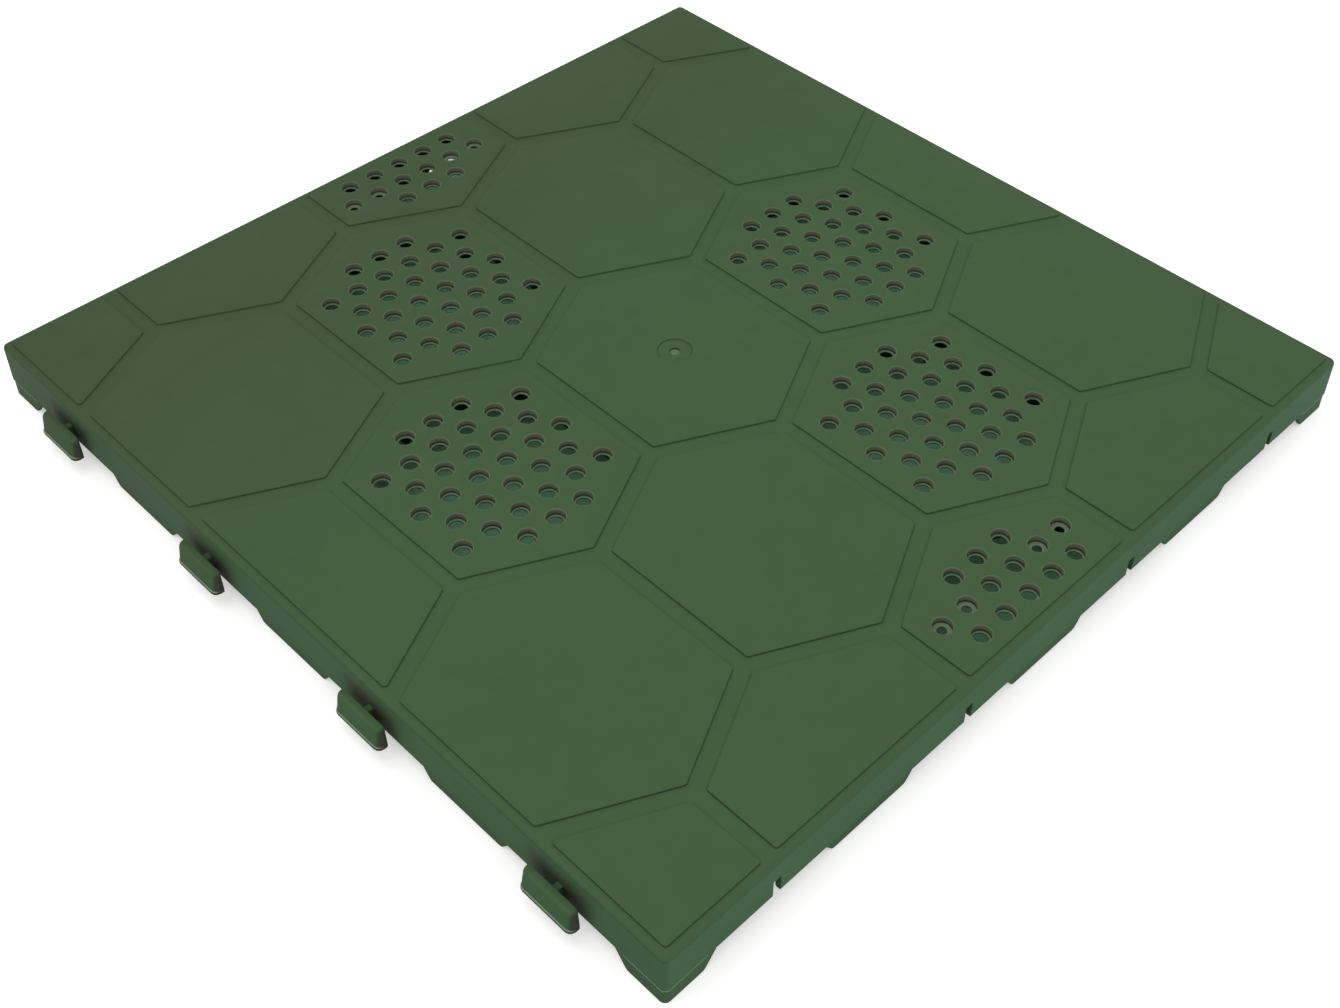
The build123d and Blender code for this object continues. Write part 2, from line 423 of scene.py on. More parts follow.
def arc(r_from, r_to, z_from, z_to, hollow, steps=4):
    """Quarter-round profile as pairs of reach and height; hollow bulges inwards.

    The shares of reach and height run as sin t and 1 - cos t, or the other way round.
    """
    t = np.linspace(0, math.pi / 2, steps)
    a, b = (1 - np.cos(t), np.sin(t)) if hollow else (np.sin(t), 1 - np.cos(t))
    return np.stack([r_from + (r_to - r_from) * a, z_from + (z_to - z_from) * b], 1)


def pad_centres(pitch):
    """Centre of every pad that has some of its area on the tile.

    The rows are a pitch apart, and every other row is moved on by half a pitch.
    """
    reach = PADS_ACROSS // 2
    for row in range(-reach, reach + 1):
        for col in range(-reach, reach + 1):
            x = (col + (row % 2) / 2) * pitch
            if abs(x) <= HALF + 1e-9:
                yield x, row * pitch


def cell(x, y, pitch):
    """Corners of a pad's cell, anticlockwise: two upright sides and two pointed ends."""
    w, flat = pitch / 2, (pitch - HEX_POINT) / 2
    point = flat + HEX_POINT
    corners = [(w, -flat), (w, flat), (0, point), (-w, flat), (-w, -flat), (0, -point)]
    return np.array(corners) + (x, y)


def cut_off(corners, reach):
    """Convex outline cut off at the square of that reach.

    A side that crosses a limit ends where its gap to the limit, linear along it, comes to 0.
    """
    for axis, sign in ((0, 1), (0, -1), (1, 1), (1, -1)):
        kept = []
        for a, b in zip(corners, np.roll(corners, -1, 0)):
            ga, gb = reach - sign * a[axis], reach - sign * b[axis]
            if ga >= 0:
                kept.append(a)
            if ga * gb < 0:
                kept.append(a + (b - a) * ga / (ga - gb))
        corners = np.array(kept)
    return corners


def perforated(pitch):
    """Centres of the pads that carry drain holes."""
    h = PADS_ACROSS / 2 * pitch
    return [(0, h), (-pitch / 2, pitch), (-pitch, 0), (pitch, 0), (pitch / 2, -pitch), (0, -h)]


def hole_centres(x, y, pitch):
    """Centres of one pad's drain holes, seven rows on a triangular pattern, and which are narrow.

    On a half pad the two outer holes at each end of its second row are narrow.
    """
    step = pitch / HOLES_ACROSS
    outermost = len(HOLE_ROWS) - 1
    found = []
    for row in range(-outermost, outermost + 1):
        v = y + row * step * math.sqrt(3) / 2
        count = HOLE_ROWS[abs(row)]
        if abs(v) < HALF - step / 2:
            for i in range(count):
                narrow = abs(row) == 2 and abs(y) > HALF - step and min(i, count - 1 - i) < 2
                found.append((x + (i - (count - 1) / 2) * step, v, narrow))
    return found


def circle(x, y, radius, steps):
    """Points on a circle about (x, y)."""
    t = np.linspace(0, 2 * math.pi, steps, endpoint=False)
    return np.stack([x + radius * np.cos(t), y + radius * np.sin(t)], 1)


def turned(x, y, profile, steps):
    """Loops of a profile of radius and height turned about the upright axis through (x, y)."""
    return [at_height(circle(x, y, radius, steps), z) for radius, z in profile]


def drain_hole(patches, x, y, s, deck_z, ledge_width):
    """Drain hole turned about its axis: rounded mouth, wall, ledge and a narrower throat.

    Returns its loops at the top and at the bottom.
    """
    r, throat = s.hole / 2, s.hole / 2 - ledge_width
    ledge = HEIGHT - s.hole_step
    soft = LEDGE_SOFT
    profile = np.concatenate([
        arc(r + HOLE_EDGE_R, r, HEIGHT, HEIGHT - HOLE_EDGE_R, False),
        [(r, ledge + SILT_TOP), (r, ledge + soft), (r - soft, ledge), (throat + soft, ledge),
         (throat, ledge - soft), (throat, deck_z)]])
    loops = turned(x, y, profile, 28)
    # Painted highlights on the mouth and ledge, pale silt on the wall, and painted shade above the
    # ledge and in the throat
    band(patches, loops, HOLE_SHADING_AND_SILT)
    return loops[0][:, :2], loops[-1][:, :2]


def gate_mark(patches):
    """Shallow round recess with a small blind hole in its middle; returns its loop at the top."""
    soft = GATE_SOFT
    floor = HEIGHT - GATE_DEPTH
    profile = [(GATE_R + soft, HEIGHT), (GATE_R, HEIGHT - soft), (GATE_R - soft, floor),
               (GATE_PIN_R + soft, floor), (GATE_PIN_R, floor - soft),
               (GATE_PIN_R, floor - GATE_PIN_DEPTH)]
    loops = turned(0, 0, profile, 40)
    # Painted shade on the walls of the recess and of the pin
    band(patches, loops, GATE_SHADE)
    # The pin's floor is painted in the pale highlight green
    lid(patches, loops[-1], GATE_PIN_PALE)
    return loops[0][:, :2]


def joint_places(pitch):
    """Places along a side, halfway between feet."""
    return [(i + 0.5 - PADS_ACROSS / 2) * pitch for i in range(PADS_ACROSS)]


def tile_loop(inset, pitch, steps):
    """Outline of the tile drawn in by inset, with points at both edges of every slot."""
    t = np.linspace(math.pi, 1.5 * math.pi, steps)
    corner = -HALF + CORNER_R + (CORNER_R - inset) * np.stack([np.cos(t), np.sin(t)], 1)
    along = np.array([u + s * SLOT_W / 2 for u in joint_places(pitch) for s in (-1, 1)])
    sides = []
    for k, shift in enumerate((JOINT_SHIFT, -JOINT_SHIFT, 0, 0)):
        edges = np.stack([along + shift, np.full(len(along), -HALF + inset)], 1)
        sides.append(quarter(np.concatenate([corner, edges]), k))
    return np.concatenate(sides)


def skirt(patches, pitch, rim_z, deck_z, steps=6):
    """Rounded rim, outer wall, lower edge and inner wall, with slots in the sides -Y and +X.

    The tile's outline is carried down, out and up again through pairs of inset and height.
    Returns the loops at the channels' level and under the deck.
    """
    c = SMALL_BEVEL
    levels = arc(EDGE_R, 0, rim_z, rim_z - EDGE_R, False, 6).tolist()
    levels += [(0, rim_z - EDGE_R - RIM_STRIP)]
    first = len(levels)
    levels += [(0, SLOT_TOP), (0, SKIRT_LIFT + c), (c, SKIRT_LIFT), (WALL_T - c, SKIRT_LIFT),
               (WALL_T, SKIRT_LIFT + c), (WALL_T, SLOT_TOP), (WALL_T, deck_z)]
    last = len(levels) - 2
    loops = np.array([at_height(tile_loop(inset, pitch, steps), z) for inset, z in levels])
    m, n = loops.shape[:2]
    dust_and_shading = np.zeros((m - 1, n))
    # Painted shade on the strip below the rim's curve
    dust_and_shading[first - 3:first - 1] = RIM_SHADE
    # Painted highlight on the bevel of the skirt's lower edge
    dust_and_shading[first + 1] = SKIRT_EDGE_HIGHLIGHT
    per_side = n // 4
    cut = np.zeros((m - 1, n), bool)
    ends = []
    for side in (0, 1):
        for k in range(len(joint_places(pitch))):
            a = side * per_side + steps + 2 * k
            cut[first:last, a] = True
            ends.append(a)
    patches.add(loops, rings(m, n)[~cut], dust_and_shading[~cut])
    # The slots' two sides and their tops
    for a in ends:
        for j in (a, a + 1):
            patches.add(loops[first:last + 1, j], [np.arange(last + 1 - first)])
        patches.add(loops[[first, first, last, last], [a, a + 1, a + 1, a]], [[0, 1, 2, 3]])
    return loops[0][:, :2], loops[-1][:, :2]


def deck(patches, s):
    """Pads, channels, drain holes, gate mark, rim and skirt as one closed surface.

    A pad's rounded outline is carried down its side through pairs of inset and height.
    """
    pitch = s.pad_pitch
    rim_z = HEIGHT - s.pad_step
    deck_z = rim_z - DECK_T
    rim, under = skirt(patches, pitch, rim_z, deck_z)
    holed = {c: hole_centres(*c, pitch) for c in perforated(pitch)}
    side = np.concatenate([
        arc(PAD_EDGE_R, 0, HEIGHT, HEIGHT - PAD_EDGE_R, False),
        arc(0, -PAD_FOOT_R, rim_z + PAD_FOOT_R, rim_z, True)])
    close = pitch / 10   # centres nearer than this are the same
    pad_feet, throats = [], []
    for x, y in pad_centres(pitch):
        corners = cut_off(drawn_in(cell(x, y, pitch), s.channel / 2), HALF - s.border)
        loops = [at_height(rounded(corners, PAD_CORNER_R, inset), z) for inset, z in side]
        # Painted shade on the pads' sides, darkest in the crease at their foot
        band(patches, loops, PAD_SIDE_SHADE)
        pad_feet.append(loops[-1][:, :2])
        mouths = []
        here = [holes for centre, holes in holed.items() if math.dist(centre, (x, y)) < close]
        for hx, hy, narrow in (here[0] if here else []):
            ledge = s.narrow_ledge if narrow else s.hole_ledge
            top, bottom = drain_hole(patches, hx, hy, s, deck_z, ledge)
            mouths.append(top)
            throats.append(bottom)
        if math.hypot(x, y) < close:
            mouths.append(gate_mark(patches))
        plate(patches, loops[0][:, :2], mouths, HEIGHT)
    plate(patches, rim, pad_feet, rim_z)
    plate(patches, under, throats, deck_z)


def eased(points, ease, steps=4):
    """Open line whose inner corners become curves.

    Each curve is (1-t)^2 times the point at ease before the corner, plus 2t(1-t) times the
    corner, plus t^2 times the point at ease after it.
    """
    points = np.asarray(points, float)
    here, before, after = points[1:-1], points[:-2], points[2:]
    start = here + (before - here) * ease / np.linalg.norm(before - here, axis=1)[:, None]
    end = here + (after - here) * ease / np.linalg.norm(after - here, axis=1)[:, None]
    t = np.linspace(0, 1, steps)[:, None]
    curves = ((1 - t) ** 2 * start[:, None] + 2 * t * (1 - t) * here[:, None]
              + t ** 2 * end[:, None])
    return np.concatenate([points[:1], curves.reshape(-1, 2), points[-1:]])


def strip(patches, face, lows, top, turns):
    """Upright strip of a foot, carried along its face's line in plan, with its own low edges.

    The section is the same all along: the face, a bevelled low edge and the back at FOOT_T.
    The face has a painted highlight line just under the skirt's lower edge, with painted shade
    below it and on the bevelled low edge.
    """
    inward = right_of(np.gradient(face, axis=0))
    c = SMALL_BEVEL
    level = np.full(len(lows), top)
    highlight_top = np.maximum(SKIRT_LIFT - HIGHLIGHT_TOP, lows + c + HIGHLIGHT_LEAST * 2)
    highlight_low = np.maximum(SKIRT_LIFT - HIGHLIGHT_LOW, lows + c + HIGHLIGHT_LEAST)
    section = ((0, level), (0, highlight_top), (0, highlight_low), (0, lows + c), (c, lows),
               (FOOT_T - c, lows), (FOOT_T, lows + c), (FOOT_T, level))
    loops = np.stack([np.c_[face + inward * d, z] for d, z in section], 1)
    faces = rings(len(lows), len(section)).reshape(-1, 4)
    patches.add(quarter(loops, turns), faces, np.tile(FOOT_SHADING, len(lows) - 1))
    for end in (loops[0], loops[-1]):
        lid(patches, quarter(end, turns))


def foot_side(half_width, inner):
    """Low edge of half a foot: from behind the skirt down its slope, then on the floor to inner."""
    return eased([(half_width + FOOT_OVER, SKIRT_LIFT + FOOT_RISE * FOOT_OVER),
                  (half_width - FOOT_SLOPE, 0), (inner, 0)], FOOT_EASE)


def feet(patches, s):
    """A foot in the middle of each pad pitch, and feet that go round the corners."""
    top = SKIRT_LIFT + FOOT_ROOT
    line = foot_side(FOOT_TOP / 2, 0)
    line = np.concatenate([line, line[-2::-1] * (-1, 1)])
    half = foot_side(CORNER_FOOT, CORNER_INSET + CORNER_R)
    t = np.linspace(1.5 * math.pi, math.pi, 7)[1:-1]
    bend = CORNER_INSET + CORNER_R * (1 + np.stack([np.cos(t), np.sin(t)], 1))
    inset = np.full(len(half), CORNER_INSET)
    corner = np.concatenate([np.c_[half[:, 0], inset], bend, np.c_[inset, half[:, 0]][::-1]]) - HALF
    lows = np.concatenate([half[:, 1], np.zeros(len(bend)), half[::-1, 1]])
    for k in range(4):
        for i in range(1, PADS_ACROSS):
            middle = (i - PADS_ACROSS / 2) * s.pad_pitch
            face = np.c_[line[:, 0] + middle, np.full(len(line), -HALF + FOOT_INSET)]
            strip(patches, face, line[:, 1], top, k)
        strip(patches, corner, lows, top, k)


def oblong(x_low, x_high, y, half_length):
    """Corners of an upright body's plan between two x, to both sides of y, anticlockwise."""
    low, high = y - half_length, y + half_length
    return np.array([(x_low, low), (x_high, low), (x_high, high), (x_low, high)])


def block(patches, corners, radius, levels, turns=0, dust_and_shading=0.0):
    """Upright body whose rounded plan is drawn in by each level's inset."""
    loft(patches, [quarter(at_height(rounded(corners, radius, inset, 4), z), turns)
                   for inset, z in levels], dust_and_shading)


def hook(patches, place, turns):
    """Hook on the side -X at y = place: a block with rounded ends on a thin flange, with a stem.

    The block's plan grows towards the flange, in step with the way down from its top, and its
    crest is a quarter round.
    """
    c = SMALL_BEVEL
    near = -HALF - HOOK_GAP
    crest = arc(0, HOOK_ROUND, HOOK_TOP - HOOK_ROUND, HOOK_TOP, True, 6)
    loops = []
    for inset, z in [(0, HOOK_LEDGE - BITE), *crest]:
        down = (HOOK_TOP - z) / (HOOK_TOP - HOOK_LEDGE)
        reach = BLOCK_T + BLOCK_LEAN * down - inset
        end = HOOK_LEN / 2 + (FLANGE_LEN - HOOK_LEN) / 2 * down - CREST_DRAW * inset
        plan = oblong(near - reach, near, place, end)
        soft = max(HOOK_END_R - inset, c)
        loops.append(quarter(at_height(rounded(plan, (soft, c, c, soft), 0, 6), z), turns))
    loft(patches, loops)
    plan = oblong(near - FLANGE_T, near, place, FLANGE_LEN / 2)
    radii = (FLANGE_R, FLANGE_NEAR_R, FLANGE_NEAR_R, FLANGE_R)
    levels = ((c, HOOK_LOW), (0, HOOK_LOW + c), (0, HOOK_LEDGE - c), (c, HOOK_LEDGE))
    # Painted shade on the flange's low bevel and face, and a painted highlight on its top bevel
    block(patches, plan, radii, levels, turns, FLANGE_SHADING)
    plan = oblong(near - BITE, -HALF + BITE, place, STEM_T / 2)
    levels = ((0, HOOK_LOW), (0, STEM_TOP - STEM_BEVEL), (STEM_BEVEL, STEM_TOP))
    block(patches, plan, STEM_CORNER_R, levels, turns)


def hooks(patches, s):
    """Hooks along the side -X, and mirrored about the diagonal along the side +Y."""
    for place in joint_places(s.pad_pitch):
        hook(patches, place - JOINT_SHIFT, 0)
        hook(patches, place + JOINT_SHIFT, -1)


def rib(patches, a, b, deck_z, notch):
    """Upright rib under the deck from a to b; where notch is set its end at b is shallow.

    Its outline seen from the side is carried across its thickness.
    """
    length = np.linalg.norm(b - a)
    along = (b - a) / length
    across = np.array([-along[1], along[0]]) * RIB_T / 2
    low, top = deck_z - RIB_DEPTH, deck_z + BITE
    end = [(length, low)]
    if notch:
        end = [(length - notch, low), (length - notch, ROOM_TOP), (length, ROOM_TOP)]
    side = np.array([(0, top), (0, low), *end, (length, top)])
    plan = a + side[:, :1] * along
    loft(patches, [np.c_[plan + sign * across, side[:, 1]] for sign in (-1, 1)])


def ribs(patches, s):
    """Ribs under the channels, each drawn once, cut off at the skirt.

    A rib is cut where its farther coordinate, linear along it, comes to the skirt, and is
    shallow there on the slotted sides, where hooks come in.
    """
    reach = HALF - WALL_T + BITE
    deck_z = HEIGHT - s.pad_step - DECK_T
    done = set()
    for x, y in pad_centres(s.pad_pitch):
        corners = cell(x, y, s.pad_pitch)
        for a, b in zip(corners, np.roll(corners, -1, 0)):
            key = tuple(sorted((tuple(np.round(a, 5)), tuple(np.round(b, 5)))))
            if key in done or (np.abs((a + b) / 2) > HALF).any():
                continue
            done.add(key)
            if np.abs(a).max() > np.abs(b).max():
                a, b = b, a
            if np.abs(a).max() > reach - RIB_LEAST:
                continue
            over = np.abs(b) - reach
            ends_at_skirt = over.max() > 0
            if ends_at_skirt:
                k = int(over.argmax())
                b = a + (b - a) * (reach - abs(a[k])) / (abs(b[k]) - abs(a[k]))
            slotted = ends_at_skirt and (b[1] < -reach + AT_SKIRT or b[0] > reach - AT_SKIRT)
            k = int(np.abs(b).argmax())
            slope = abs((b - a)[k]) / np.linalg.norm(b - a)
            notch = (ROOM_DEPTH - WALL_T + BITE) / slope if slotted else 0
            rib(patches, a, b, deck_z, notch)


def legs(patches, s):
    """Cross-shaped legs under the cells' corners and the middle of the tile."""
    deck_z = HEIGHT - s.pad_step - DECK_T
    levels = ((LEG_BEVEL, 0), (0, LEG_BEVEL), (0, deck_z + BITE))
    places = {(0.0, 0.0)}
    for x, y in pad_centres(s.pad_pitch):
        for c in cell(x, y, s.pad_pitch):
            if np.abs(c).max() < HALF - LEG_SPAN / 2:
                places.add(tuple(np.round(c, 6)))
    for x, y in sorted(places):
        for w, d in ((LEG_SPAN / 2, RIB_T / 2), (RIB_T / 2, LEG_SPAN / 2)):
            block(patches, oblong(x - w, x + w, y, d), LEG_CORNER_R, levels)


def add_node(tree, kind, settings=None, **links):
    """Adds a shader node: settings go to its properties, links to its inputs as values or sockets.

    An input is named with _ for a space, or by its number after a _.
    """
    node = tree.nodes.new(kind)
    for key, value in (settings or {}).items():
        setattr(node, key, value)
    for key, value in links.items():
        socket = node.inputs[int(key[1:])] if key[0] == "_" else node.inputs[key.replace("_", " ")]
        if isinstance(value, bpy.types.NodeSocket):
            tree.links.new(value, socket)
        else:
            socket.default_value = value
    return node


def shade_round_hooks(tree, place):
    """How much painted shade covers each point round the hooks, from 0 to 1.

    It lies on the skirt behind each hook, where it thins out along it and upwards, and on the
    hook's ends.
    """
    split = add_node(tree, "ShaderNodeSeparateXYZ", Vector=place).outputs
    # The greater of y and -x runs out from the hooked sides, and the smaller runs along them
    back = add_node(tree, "ShaderNodeMath", {"operation": "MULTIPLY"},
                    _0=split["X"], _1=-1.0).outputs[0]
    out = add_node(tree, "ShaderNodeMath", {"operation": "MAXIMUM"},
                   _0=back, _1=split["Y"]).outputs[0]
    along = add_node(tree, "ShaderNodeMath", {"operation": "MINIMUM"},
                     _0=back, _1=split["Y"]).outputs[0]
    along = add_node(tree, "ShaderNodeMath", {"operation": "ADD"},
                     _0=along, _1=JOINT_SHIFT + HOOK_STEP).outputs[0]
    off_hook = add_node(tree, "ShaderNodeMath", {"operation": "PINGPONG"},
                        _0=along, _1=HOOK_STEP).outputs[0]
    behind = add_node(tree, "ShaderNodeMapRange", {"interpolation_type": "SMOOTHSTEP"},
                      Value=off_hook, From_Min=SHADOW_FULL, From_Max=SHADOW_END,
                      To_Min=1.0, To_Max=0.0).outputs["Result"]
    below = add_node(tree, "ShaderNodeMapRange", {"interpolation_type": "SMOOTHSTEP"},
                     Value=split["Z"], From_Min=SHADOW_LOW, From_Max=SHADOW_TOP,
                     To_Min=SHADOW_SHARE, To_Max=0.0).outputs["Result"]
    skirt_face = add_node(tree, "ShaderNodeMath", {"operation": "COMPARE"},
                          _0=out, _1=HALF, _2=SKIRT_SKIN).outputs[0]
    patch = add_node(tree, "ShaderNodeMath", {"operation": "MULTIPLY"},
                     _0=behind, _1=below).outputs[0]
    patch = add_node(tree, "ShaderNodeMath", {"operation": "MULTIPLY"},
                     _0=patch, _1=skirt_face).outputs[0]
    end = add_node(tree, "ShaderNodeMapRange", {"interpolation_type": "SMOOTHSTEP"},
                   Value=off_hook, From_Min=END_SHADE_FROM, From_Max=END_SHADE_FULL,
                   To_Max=END_SHADE_SHARE).outputs["Result"]
    past = add_node(tree, "ShaderNodeMath", {"operation": "GREATER_THAN"},
                    _0=out, _1=HALF + SKIRT_SKIN).outputs[0]
    end = add_node(tree, "ShaderNodeMath", {"operation": "MULTIPLY"},
                   _0=end, _1=past).outputs[0]
    return add_node(tree, "ShaderNodeMath", {"operation": "MAXIMUM"},
                    _0=patch, _1=end).outputs[0]


def moulded_polypropylene(colours):
    """Through-coloured polypropylene from a spark-eroded mould: matt, with a fine pebbled grain.

    The low specular level stands for the grain's own shadows, which the bump doesn't cast, and
    keeps the highlights soft. The upright faces carry painted shading, a lit green and a shaded
    green by the way they face. Painted shade lies in the creases and round the hooks, painted
    highlights on edges and ledges, pale silt in the drain holes, and the tile grows darker and
    browner towards the side +Y.
    """
    material = bpy.data.materials.new("green_moulded_polypropylene")
    material.use_nodes = True
    tree = material.node_tree
    surface = tree.nodes["Principled BSDF"]
    coordinates = add_node(tree, "ShaderNodeTexCoord").outputs
    place = coordinates["Object"]
    facing = add_node(tree, "ShaderNodeSeparateXYZ", Vector=coordinates["Normal"]).outputs
    upright = add_node(tree, "ShaderNodeMapRange", Value=facing["Z"],
                       From_Min=WALL_FROM, From_Max=DECK_FROM,
                       To_Min=1.0, To_Max=0.0).outputs["Result"]
    # Painted shading by facing: lit green towards +X and -Y, shaded green towards -X and +Y
    slotted = add_node(tree, "ShaderNodeMath", {"operation": "SUBTRACT"},
                       _0=facing["X"], _1=facing["Y"]).outputs[0]
    slotted = add_node(tree, "ShaderNodeMapRange", Value=slotted,
                       From_Min=-1.0, From_Max=1.0).outputs["Result"]
    wall = add_node(tree, "ShaderNodeMix", {"data_type": "RGBA"}, Factor=slotted,
                    _6=(*colours.shaded_wall_green, 1), _7=(*colours.lit_wall_green, 1)).outputs[2]
    base = add_node(tree, "ShaderNodeMix", {"data_type": "RGBA"}, Factor=upright,
                    _6=(*colours.plastic, 1), _7=wall).outputs[2]
    # Flow marks of the melt and smaller blotches, both very faint
    flow = add_node(tree, "ShaderNodeTexNoise", Vector=place,
                    Scale=1 / FLOW, Detail=3).outputs["Fac"]
    blotch = add_node(tree, "ShaderNodeTexNoise", Vector=place,
                      Scale=1 / BLOTCH, Detail=2).outputs["Fac"]
    both = add_node(tree, "ShaderNodeMath", {"operation": "ADD"}, _0=flow, _1=blotch).outputs[0]
    level = add_node(tree, "ShaderNodeMapRange", Value=both,
                     From_Min=MOTTLE_FROM, From_Max=MOTTLE_TO,
                     To_Min=1 - MOTTLE, To_Max=1 + MOTTLE).outputs["Result"]
    shade = add_node(tree, "ShaderNodeVectorMath", {"operation": "SCALE"},
                     _0=base, _3=level).outputs[0]
    # Each face's painted shade, silt or highlight, and painted shade round the hooks on walls
    mark = add_node(tree, "ShaderNodeAttribute", {"attribute_name": "dust_and_shading"}).outputs["Fac"]
    hooks_shade = add_node(tree, "ShaderNodeMath", {"operation": "MULTIPLY"},
                          _0=shade_round_hooks(tree, place), _1=upright).outputs[0]
    # Painted crease shade is weaker towards the corner +X +Y
    across = add_node(tree, "ShaderNodeVectorMath", {"operation": "DOT_PRODUCT"},
                      _0=place, _1=(1, 1, 0)).outputs["Value"]
    fade = add_node(tree, "ShaderNodeMapRange", Value=across,
                    From_Min=-2 * HALF, From_Max=2 * HALF,
                    To_Min=CREASE_MOST, To_Max=CREASE_LEAST).outputs["Result"]
    cover = add_node(tree, "ShaderNodeMath", {"operation": "MULTIPLY"},
                     _0=mark, _1=fade).outputs[0]
    cover = add_node(tree, "ShaderNodeMath", {"operation": "MAXIMUM"},
                     _0=cover, _1=hooks_shade).outputs[0]
    # The tile grows darker and browner towards the hooked side +Y
    browning = add_node(tree, "ShaderNodeVectorMath", {"operation": "DOT_PRODUCT"},
                    _0=place, _1=BROWNING_SIDE).outputs["Value"]
    browning = add_node(tree, "ShaderNodeMapRange", Value=browning,
                    From_Max=BROWNING_REACH, To_Max=BROWNING_SHARE).outputs["Result"]
    cover = add_node(tree, "ShaderNodeMath", {"operation": "MAXIMUM"},
                     _0=cover, _1=browning).outputs[0]
    dusty_and_shaded = add_node(tree, "ShaderNodeMix", {"data_type": "RGBA"}, Factor=cover,
                     _6=shade, _7=(*colours.dust_and_shading, 1)).outputs[2]
    dry = add_node(tree, "ShaderNodeMapRange", Value=mark,
                   From_Min=1.0, From_Max=2.0).outputs["Result"]
    dusty_and_shaded = add_node(tree, "ShaderNodeMix", {"data_type": "RGBA"}, Factor=dry,
                     _6=dusty_and_shaded, _7=(*colours.silt, 1)).outputs[2]
    # Painted highlights, where a face's mark is below 0
    highlight_share = add_node(tree, "ShaderNodeMapRange", Value=mark, From_Min=-1.0, From_Max=0.0,
                    To_Min=1.0, To_Max=0.0).outputs["Result"]
    painted_highlights = add_node(tree, "ShaderNodeMix", {"data_type": "RGBA"}, Factor=highlight_share,
                    _6=dusty_and_shaded, _7=(*colours.painted_highlights, 1)).outputs[2]
    tree.links.new(painted_highlights, surface.inputs["Base Color"])
    # Spark-eroded grain, in the bump and in the roughness
    grain = add_node(tree, "ShaderNodeTexNoise", Vector=place,
                     Scale=1 / GRAIN, Detail=2).outputs["Fac"]
    rough = add_node(tree, "ShaderNodeMapRange", Value=grain,
                     From_Min=GRAIN_FROM, From_Max=GRAIN_TO,
                     To_Min=ROUGH_LEAST, To_Max=ROUGH_MOST).outputs["Result"]
    tree.links.new(rough, surface.inputs["Roughness"])
    bump = add_node(tree, "ShaderNodeBump", Strength=GRAIN_STRENGTH, Distance=GRAIN_DEPTH,
                    Height=grain).outputs["Normal"]
    tree.links.new(bump, surface.inputs["Normal"])
    surface.inputs["IOR"].default_value = PLASTIC_IOR
    surface.inputs["Specular IOR Level"].default_value = PLASTIC_SPECULAR
    return material


def seen(tree):
    """1 for what the camera, a mirror or glass shows, and 0 for light that falls on the tile."""
    path = add_node(tree, "ShaderNodeLightPath").outputs
    first = add_node(tree, "ShaderNodeMath", {"operation": "MAXIMUM"},
                     _0=path["Is Camera Ray"], _1=path["Is Glossy Ray"]).outputs[0]
    return add_node(tree, "ShaderNodeMath", {"operation": "MAXIMUM"},
                    _0=first, _1=path["Is Transmission Ray"]).outputs[0]


def matt_floor_paint(colours):
    """Matt paint of the floor, lifted to white for the camera, and a shaded green under the tile.

    Under the tile the lift falls to a faint painted green glow, where the drain holes show the
    floor in shade. The shade starts SHADE_SHIFT further out on the far sides, where the outer holes
    look out under the skirt.
    """
    paint = bpy.data.materials.new("matt_floor_paint")
    paint.use_nodes = True
    tree = paint.node_tree
    surface = tree.nodes["Principled BSDF"]
    surface.inputs["Roughness"].default_value = FLOOR_ROUGHNESS
    surface.inputs["Specular IOR Level"].default_value = 0.0
    place = add_node(tree, "ShaderNodeTexCoord").outputs["Object"]
    place = add_node(tree, "ShaderNodeVectorMath",
                     _0=place, _1=(-SHADE_SHIFT, -SHADE_SHIFT, 0)).outputs[0]
    away = add_node(tree, "ShaderNodeVectorMath", {"operation": "ABSOLUTE"}, _0=place).outputs[0]
    away = add_node(tree, "ShaderNodeSeparateXYZ", Vector=away).outputs
    away = add_node(tree, "ShaderNodeMath", {"operation": "MAXIMUM"},
                    _0=away["X"], _1=away["Y"]).outputs[0]
    beyond = add_node(tree, "ShaderNodeMapRange", Value=away,
                      From_Min=SHADE_FULL, From_Max=SHADE_END).outputs["Result"]
    base = add_node(tree, "ShaderNodeMix", {"data_type": "RGBA"}, Factor=beyond,
                    _6=(*colours.floor_shade, 1), _7=(*colours.floor, 1)).outputs[2]
    tree.links.new(base, surface.inputs["Base Color"])
    tree.links.new(base, surface.inputs["Emission Color"])
    lift = add_node(tree, "ShaderNodeMapRange", Value=beyond,
                    To_Min=LIFT_UNDER, To_Max=LIFT_BEYOND).outputs["Result"]
    lift = add_node(tree, "ShaderNodeMath", {"operation": "MULTIPLY"},
                    _0=lift, _1=seen(tree)).outputs[0]
    tree.links.new(lift, surface.inputs["Emission Strength"])
    return paint


class TILE_OT_moulding(bpy.types.Operator):
    """Builds the moulded tile from its deck, feet, hooks, ribs and legs"""
    bl_idname = "tile.moulding"
    bl_label = "Moulded tile"

    def execute(self, context):
        s, colours = context.scene.tile_sizes, context.scene.tile_colours
        patches = Patches()
        for form in (deck, feet, hooks, ribs, legs):
            form(patches, s)
        data = patches.mesh("moulded_tile")
        data.shade_smooth()
        data.set_sharp_from_angle(angle=math.radians(SHARP_DEGREES))
        piece = bpy.data.objects.new("moulded_tile", data)
        context.scene.collection.objects.link(piece)
        data.materials.append(moulded_polypropylene(colours))
        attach(piece, "root")
        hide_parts("tile")
        return {"FINISHED"}


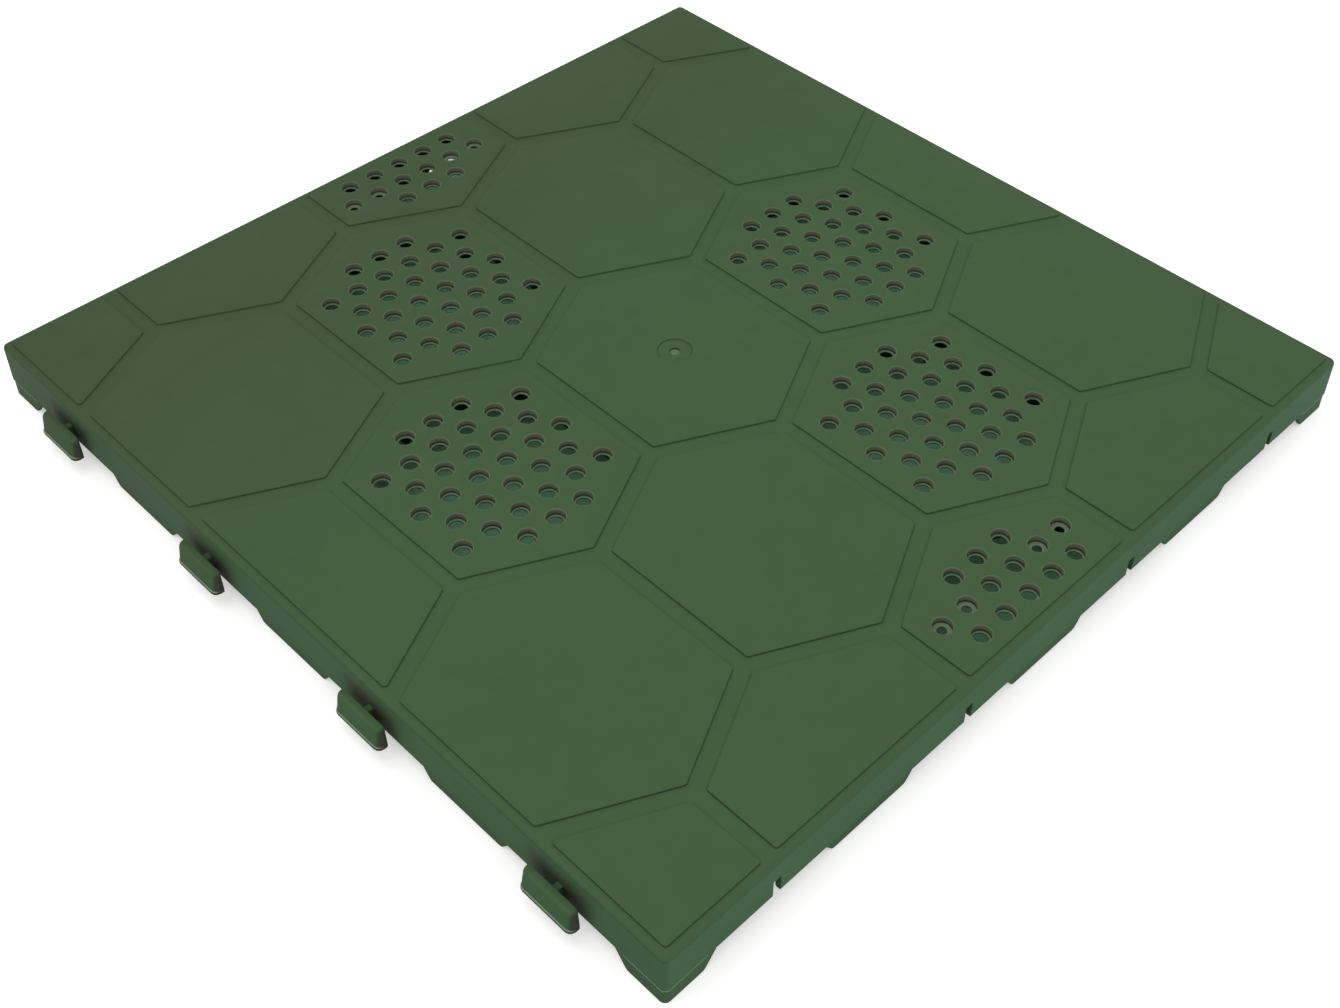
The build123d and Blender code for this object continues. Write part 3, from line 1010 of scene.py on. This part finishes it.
class TILE_OT_studio(bpy.types.Operator):
    """Adds the floor, the lamp, the world's light and the camera"""
    bl_idname = "tile.studio"
    bl_label = "Studio"

    def execute(self, context):
        scene = context.scene
        data = bpy.data.meshes.new("floor")
        corners = np.array([(-1, -1, 0), (1, -1, 0), (1, 1, 0), (-1, 1, 0)]) * FLOOR_REACH
        data.from_pydata(corners.tolist(), [], [(0, 1, 2, 3)])
        floor = bpy.data.objects.new("floor", data)
        scene.collection.objects.link(floor)
        data.materials.append(matt_floor_paint(scene.tile_colours))

        world = bpy.data.worlds.new("studio")
        scene.world = world
        world.use_nodes = True
        tree = world.node_tree
        back = tree.nodes["Background"]
        back.inputs["Color"].default_value = (1, 1, 1, 1)
        strength = add_node(tree, "ShaderNodeMapRange", Value=seen(tree), To_Min=WORLD_LIGHT)
        tree.links.new(strength.outputs["Result"], back.inputs["Strength"])

        lamp = bpy.data.lights.new("softbox", "AREA")
        lamp.shape, lamp.size, lamp.energy = "SQUARE", SOFTBOX_SIZE, SOFTBOX_ENERGY
        softbox = bpy.data.objects.new("softbox", lamp)
        softbox.location = SOFTBOX_PLACE
        softbox.rotation_euler = (-SOFTBOX_PLACE).to_track_quat("-Z", "Y").to_euler()
        scene.collection.objects.link(softbox)

        camera = bpy.data.cameras.new("camera")
        camera.sensor_width = SENSOR_WIDTH
        camera.lens = SENSOR_WIDTH * FOCAL_PIXELS / FRAME_WIDTH
        camera.shift_x = (FRAME_WIDTH / 2 - CENTRE_PIXEL[0]) / FRAME_WIDTH
        camera.shift_y = (CENTRE_PIXEL[1] - FRAME_HEIGHT / 2) / FRAME_WIDTH
        camera.clip_start = CLIP_START
        holder = bpy.data.objects.new("camera", camera)
        turn = (CAMERA_AIM - CAMERA_PLACE).to_track_quat("-Z", "Y").to_matrix().to_4x4()
        holder.matrix_world = (Matrix.Translation(CAMERA_PLACE) @ turn
                               @ Matrix.Rotation(math.radians(CAMERA_ROLL), 4, "Z"))
        scene.collection.objects.link(holder)
        scene.camera = holder
        scene.view_settings.view_transform = "Standard"
        return {"FINISHED"}


class TILE_PT_panel(bpy.types.Panel):
    """Lists the sizes, the colours and the steps"""
    bl_label = "Drainage tile"
    bl_space_type = "VIEW_3D"
    bl_region_type = "UI"
    bl_category = "Tile"

    def draw(self, context):
        for group in (context.scene.tile_sizes, context.scene.tile_colours):
            for key in group.__annotations__:
                self.layout.prop(group, key)
        self.layout.operator("tile.moulding")
        self.layout.operator("tile.studio")


CLASSES = (TileSizes, TileColours, TILE_OT_moulding, TILE_OT_studio, TILE_PT_panel)


def register():
    """Registers the classes and gives every scene its sizes and colours."""
    for item in CLASSES:
        bpy.utils.register_class(item)
    bpy.types.Scene.tile_sizes = bpy.props.PointerProperty(type=TileSizes)
    bpy.types.Scene.tile_colours = bpy.props.PointerProperty(type=TileColours)


def unregister():
    """Takes away what register adds."""
    del bpy.types.Scene.tile_colours
    del bpy.types.Scene.tile_sizes
    for item in reversed(CLASSES):
        bpy.utils.unregister_class(item)


def main():
    """Builds the tile and the studio."""
    register()
    bpy.ops.tile.moulding()
    bpy.ops.tile.studio()


if __name__ == "__main__":
    main()
